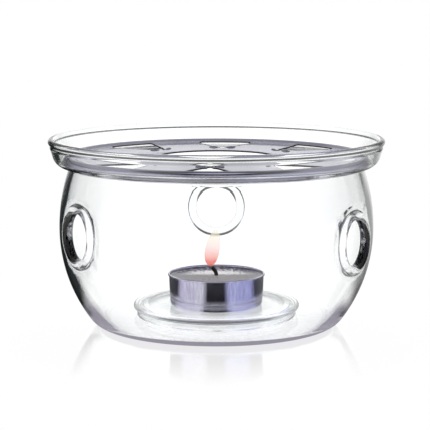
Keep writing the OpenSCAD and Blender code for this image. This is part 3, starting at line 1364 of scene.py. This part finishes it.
@dataclass
class Studio:
    """A pale glossy table in white light, and the camera.

    Colours are what softboxes and dark flags show in glass and metal, in degrees from the front. Lengths
    are in metres.
    """

    distance: float = 0.67398
    height: float = 0.14005
    pitch: float = 8.222
    turn: float = 0.0008
    lens: float = 146.5
    table_r: float = 5.0
    gloss: float = 0.08
    mirror: float = 0.3
    mirror_gain: float = 1.4
    mirror_zone: tuple[float, float] = (0.05, 0.105)
    through: float = 1.2
    # painted shade on the table close under the foot, seen only in glass and metal
    under: str = "96929e"
    painted_shade_zone: tuple[float, float] = (0.056, 0.064)
    painted_shade_ray_length: tuple[float, float] = (0.03, 0.05)
    gap_zone: tuple[float, float] = (0.17, 0.2)
    panel_zone: tuple[float, float] = (0.3, 0.4)
    overhead: tuple[float, float] = (0.15, 0.35)
    outer_rays: float = 2.5
    inner_rays: float = 3.5
    panels: tuple[tuple[float, str], ...] = (
        *((-180, "ffffff"), (-169, "ffffff"), (-158, "303438"), (-98, "26242c"), (-84, "f6f2ff")),
        *((-30, "ffffff"), (-19, "07050f"), (16, "07050f"), (28, "d8dcff"), (80, "c4c8f4")),
        *((96, "40404c"), (150, "606060"), (168, "ffffff"), (180, "ffffff")),
    )
    flags: tuple[tuple[float, str], ...] = (
        *((-180, "ffffff"), (-169, "ffffff"), (-158, "25292a"), (-100, "303434"), (-80, "ffffff")),
        *((90, "ffffff"), (110, "909090"), (150, "a0a0a0"), (168, "ffffff"), (180, "ffffff")),
    )
    gap: tuple[tuple[float, str], ...] = (
        *((-180, "ffffff"), (-28, "ffffff"), (-18, "101010")),
        *((18, "101010"), (28, "ffffff"), (180, "ffffff")),
    )
    mirrored_rise: tuple[Point, ...] = (
        *((0.0, 1.0), (0.08, 1.0), (0.16, 0.8), (0.3, 0.5)),
        *((0.8, 0.45), (0.88, 0.08), (0.95, 0.08), (0.99, 1.0)),
    )
    through_rise: tuple[Point, ...] = ((0.0, 1.2), (0.06, 1.2), (0.16, 0.1), (0.8, 0.12), (0.95, 0.8))

    def build_camera(self) -> None:
        """Places the camera in front, looking slightly down."""
        data = bpy.data.cameras.new("camera")
        data.lens = self.lens
        data.sensor_width = 36.0
        data.clip_end = 50.0
        camera = bpy.data.objects.new("camera", data)
        camera.location = (0.0, -self.distance, self.height)
        camera.rotation_euler = (math.radians(90 - self.pitch), 0.0, self.turn)
        bpy.context.scene.collection.objects.link(camera)
        bpy.context.scene.camera = camera

    def build_table(self) -> None:
        """Lays the glossy pale table. It glows evenly, so that the object stands on clean white."""
        bm = bmesh.new()
        bmesh.ops.create_circle(bm, cap_ends=True, segments=96, radius=self.table_r / MM)
        table = finished(bm, "table")
        material = bpy.data.materials.new("table_top")
        material.use_nodes = True
        tree = material.node_tree
        tree.nodes.clear()
        node = partial(add_node, tree)
        place = node("ShaderNodeNewGeometry").outputs["Position"]
        camera = node("ShaderNodeLightPath").outputs["Is Camera Ray"]
        reach = node("ShaderNodeVectorMath", {"operation": "LENGTH"}, {0: place}).outputs["Value"]
        zone = {1: self.mirror_zone[0], 2: self.mirror_zone[1], 3: self.mirror, 4: 0.0}
        fade = node("ShaderNodeMapRange", values={0: reach, **zone}).outputs[0]
        paper = node("ShaderNodeEmission", values={"Color": grey(1.0)}).outputs[0]
        values = {"Color": grey(self.mirror_gain), "Roughness": self.gloss}
        gloss = node("ShaderNodeBsdfGlossy", values=values).outputs[0]
        seen = node("ShaderNodeMixShader", values={0: fade, 1: paper, 2: gloss}).outputs[0]
        around = self.add_surroundings(tree, place, True)
        others = node("ShaderNodeEmission", values={"Color": around}).outputs[0]
        top = node("ShaderNodeMixShader", values={0: camera, 1: others, 2: seen}).outputs[0]
        node("ShaderNodeOutputMaterial", values={"Surface": top})
        dress(table, material)

    def build_light(self) -> None:
        """Wraps the table in white, with softboxes and dark flags for what is mirrored."""
        world = bpy.data.worlds.new("studio")
        scene = bpy.context.scene
        scene.world = world
        world.use_nodes = True
        tree = world.node_tree
        tree.nodes.clear()
        node = partial(add_node, tree)
        direction = node("ShaderNodeTexCoord").outputs["Generated"]
        camera = node("ShaderNodeLightPath").outputs["Is Camera Ray"]
        around = self.add_surroundings(tree, direction, False)
        colour = node("ShaderNodeMix", RGBA, {0: camera, 6: around, 7: grey(1.0)}).outputs[2]
        background = node("ShaderNodeBackground", values={0: colour, 1: 1.0}).outputs[0]
        node("ShaderNodeOutputWorld", values={0: background})
        scene.view_settings.view_transform = "Standard"
        scene.cycles.max_bounces = 24
        scene.cycles.transmission_bounces = 24
        scene.cycles.glossy_bounces = 12
        scene.cycles.transparent_max_bounces = 16

    def add_surroundings(self, tree: Tree, direction: Socket, level: bool) -> Socket:
        """Adds the studio's brightness by direction.

        Args:
            tree: The tree of the world or the table.
            direction: The direction, or the place on the table.
            level: True for the table, which has no height.

        Returns:
            The colour.
        """
        node = partial(add_node, tree)
        rays = node("ShaderNodeLightPath").outputs
        split = node("ShaderNodeSeparateXYZ", values={0: direction}).outputs
        back = node("ShaderNodeMath", {"operation": "MULTIPLY"}, {0: split["Y"], 1: -1.0}).outputs[0]
        turn = node("ShaderNodeMath", {"operation": "ARCTAN2"}, {0: split["X"], 1: back}).outputs[0]
        part = node("ShaderNodeMapRange", values={0: turn, 1: -math.pi, 2: math.pi}).outputs[0]
        if level:
            mirrored, through = self.add_table_mirrored(tree, direction, part), grey(self.through)
        else:
            rise = [(height, grey(value)) for height, value in self.through_rise]
            through = node("ShaderNodeValToRGB", values={0: split["Z"]}, stops=rise).outputs[0]
            mirrored = self.add_sky_mirrored(tree, split["Z"], part)
        glossy, diffuse = (
            node("ShaderNodeMath", {"operation": "GREATER_THAN"}, {0: rays[depth], 1: 0.5}).outputs[0]
            for depth in ("Glossy Depth", "Diffuse Depth")
        )
        clear = node("ShaderNodeMix", RGBA, {0: glossy, 6: through, 7: mirrored}).outputs[2]
        return node("ShaderNodeMix", RGBA, {0: diffuse, 6: clear, 7: grey(1.0)}).outputs[2]

    def add_table_mirrored(self, tree: Tree, place: Socket, part: Socket) -> Socket:
        """Adds what the table shows in glass and metal.

        Close under the foot, short ways see a painted shade, a grey patch on the table. In front, the bowl's
        two faces see a dark gap, and what shines inside the bowl sees the panels.

        Args:
            tree: The table's tree.
            place: The place on the table.
            part: The part of a turn from the back.

        Returns:
            The colour.
        """
        node = partial(add_node, tree)
        rays = node("ShaderNodeLightPath").outputs
        reach = node("ShaderNodeVectorMath", {"operation": "LENGTH"}, {0: place}).outputs["Value"]
        panels, flags, gap = (
            node("ShaderNodeValToRGB", values={0: part}, stops=by_turn(stops)).outputs[0]
            for stops in (self.panels, self.flags, self.gap)
        )
        beyond, outside, far, long = (
            node("ShaderNodeMapRange", values={0: value, 1: low, 2: high}).outputs[0]
            for value, (low, high) in (
                (reach, self.gap_zone),
                (reach, self.painted_shade_zone),
                (reach, self.panel_zone),
                (rays["Ray Length"], self.painted_shade_ray_length),
            )
        )
        outer, inner = (
            node("ShaderNodeMath", {"operation": operation}, {0: rays["Transmission Depth"], 1: limit})
            for operation, limit in (("LESS_THAN", self.outer_rays), ("GREATER_THAN", self.inner_rays))
        )
        close = {"operation": "SUBTRACT", "use_clamp": True}
        shaded = node("ShaderNodeMath", close, {0: outer.outputs[0], 1: beyond}).outputs[0]
        front = node("ShaderNodeMix", PRODUCT, {0: shaded, 6: flags, 7: gap}).outputs[2]
        away = node("ShaderNodeMath", {"operation": "MAXIMUM"}, {0: outside, 1: long}).outputs[0]
        # painted shade under the foot, for short rays close by
        foot = node("ShaderNodeMix", RGBA, {0: away, 6: linear(self.under), 7: front}).outputs[2]
        near = node("ShaderNodeMix", RGBA, {0: inner.outputs[0], 6: foot, 7: panels}).outputs[2]
        return node("ShaderNodeMix", RGBA, {0: far, 6: near, 7: flags}).outputs[2]

    def add_sky_mirrored(self, tree: Tree, height: Socket, part: Socket) -> Socket:
        """Adds what the studio's walls and ceiling show in glass and metal.

        Args:
            tree: The world's tree.
            height: The direction's height.
            part: The part of a turn from the back.

        Returns:
            The colour.
        """
        node = partial(add_node, tree)
        low, high = self.overhead
        depth = node("ShaderNodeLightPath").outputs["Transmission Depth"]
        panels = node("ShaderNodeValToRGB", values={0: part}, stops=by_turn(self.panels)).outputs[0]
        above = node("ShaderNodeMapRange", values={0: height, 1: low, 2: high}).outputs[0]
        walls = node("ShaderNodeMix", RGBA, {0: above, 6: panels, 7: grey(1.0)}).outputs[2]
        stops = [(level, grey(value)) for level, value in self.mirrored_rise]
        rise = node("ShaderNodeValToRGB", values={0: height}, stops=stops).outputs[0]
        before = node("ShaderNodeMath", {"operation": "LESS_THAN"}, {0: depth, 1: self.inner_rays}).outputs[0]
        return node("ShaderNodeMix", PRODUCT, {0: before, 6: walls, 7: rise}).outputs[2]


def by_turn(stops: Sequence[tuple[float, str]]) -> list[tuple[float, Colour]]:
    """A ring's stops, from degrees and sRGB hex codes to parts of a turn and linear colours."""
    return [((degrees + 180) / 360, linear(code)) for degrees, code in stops]


def main() -> None:
    """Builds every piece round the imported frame."""
    logging.basicConfig(level=logging.INFO, format="%(message)s")
    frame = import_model()
    studio = Studio()
    studio.build_camera()
    studio.build_table()
    studio.build_light()
    WarmerBowl().build(BlownGlass().material())
    # the pressed dish gets a faint painted glow
    CandleDish().build(BlownGlass(name="pressed_glass", glow=0.03).material())
    SupportPlate().build(PolishedStainless().material(), ShearedEdge().material())
    tealight = Tealight()
    tealight.build_cup(DrawnAluminium().material())
    tealight.build_wax(ParaffinWax().material())
    tealight.build_flame(CandleFlame().material())
    dress(frame["nodes"]["wick_clip"], Tinplate().material())
    dress(frame["nodes"]["wick"], CharredCotton().material())


if __name__ == "__main__":
    main()
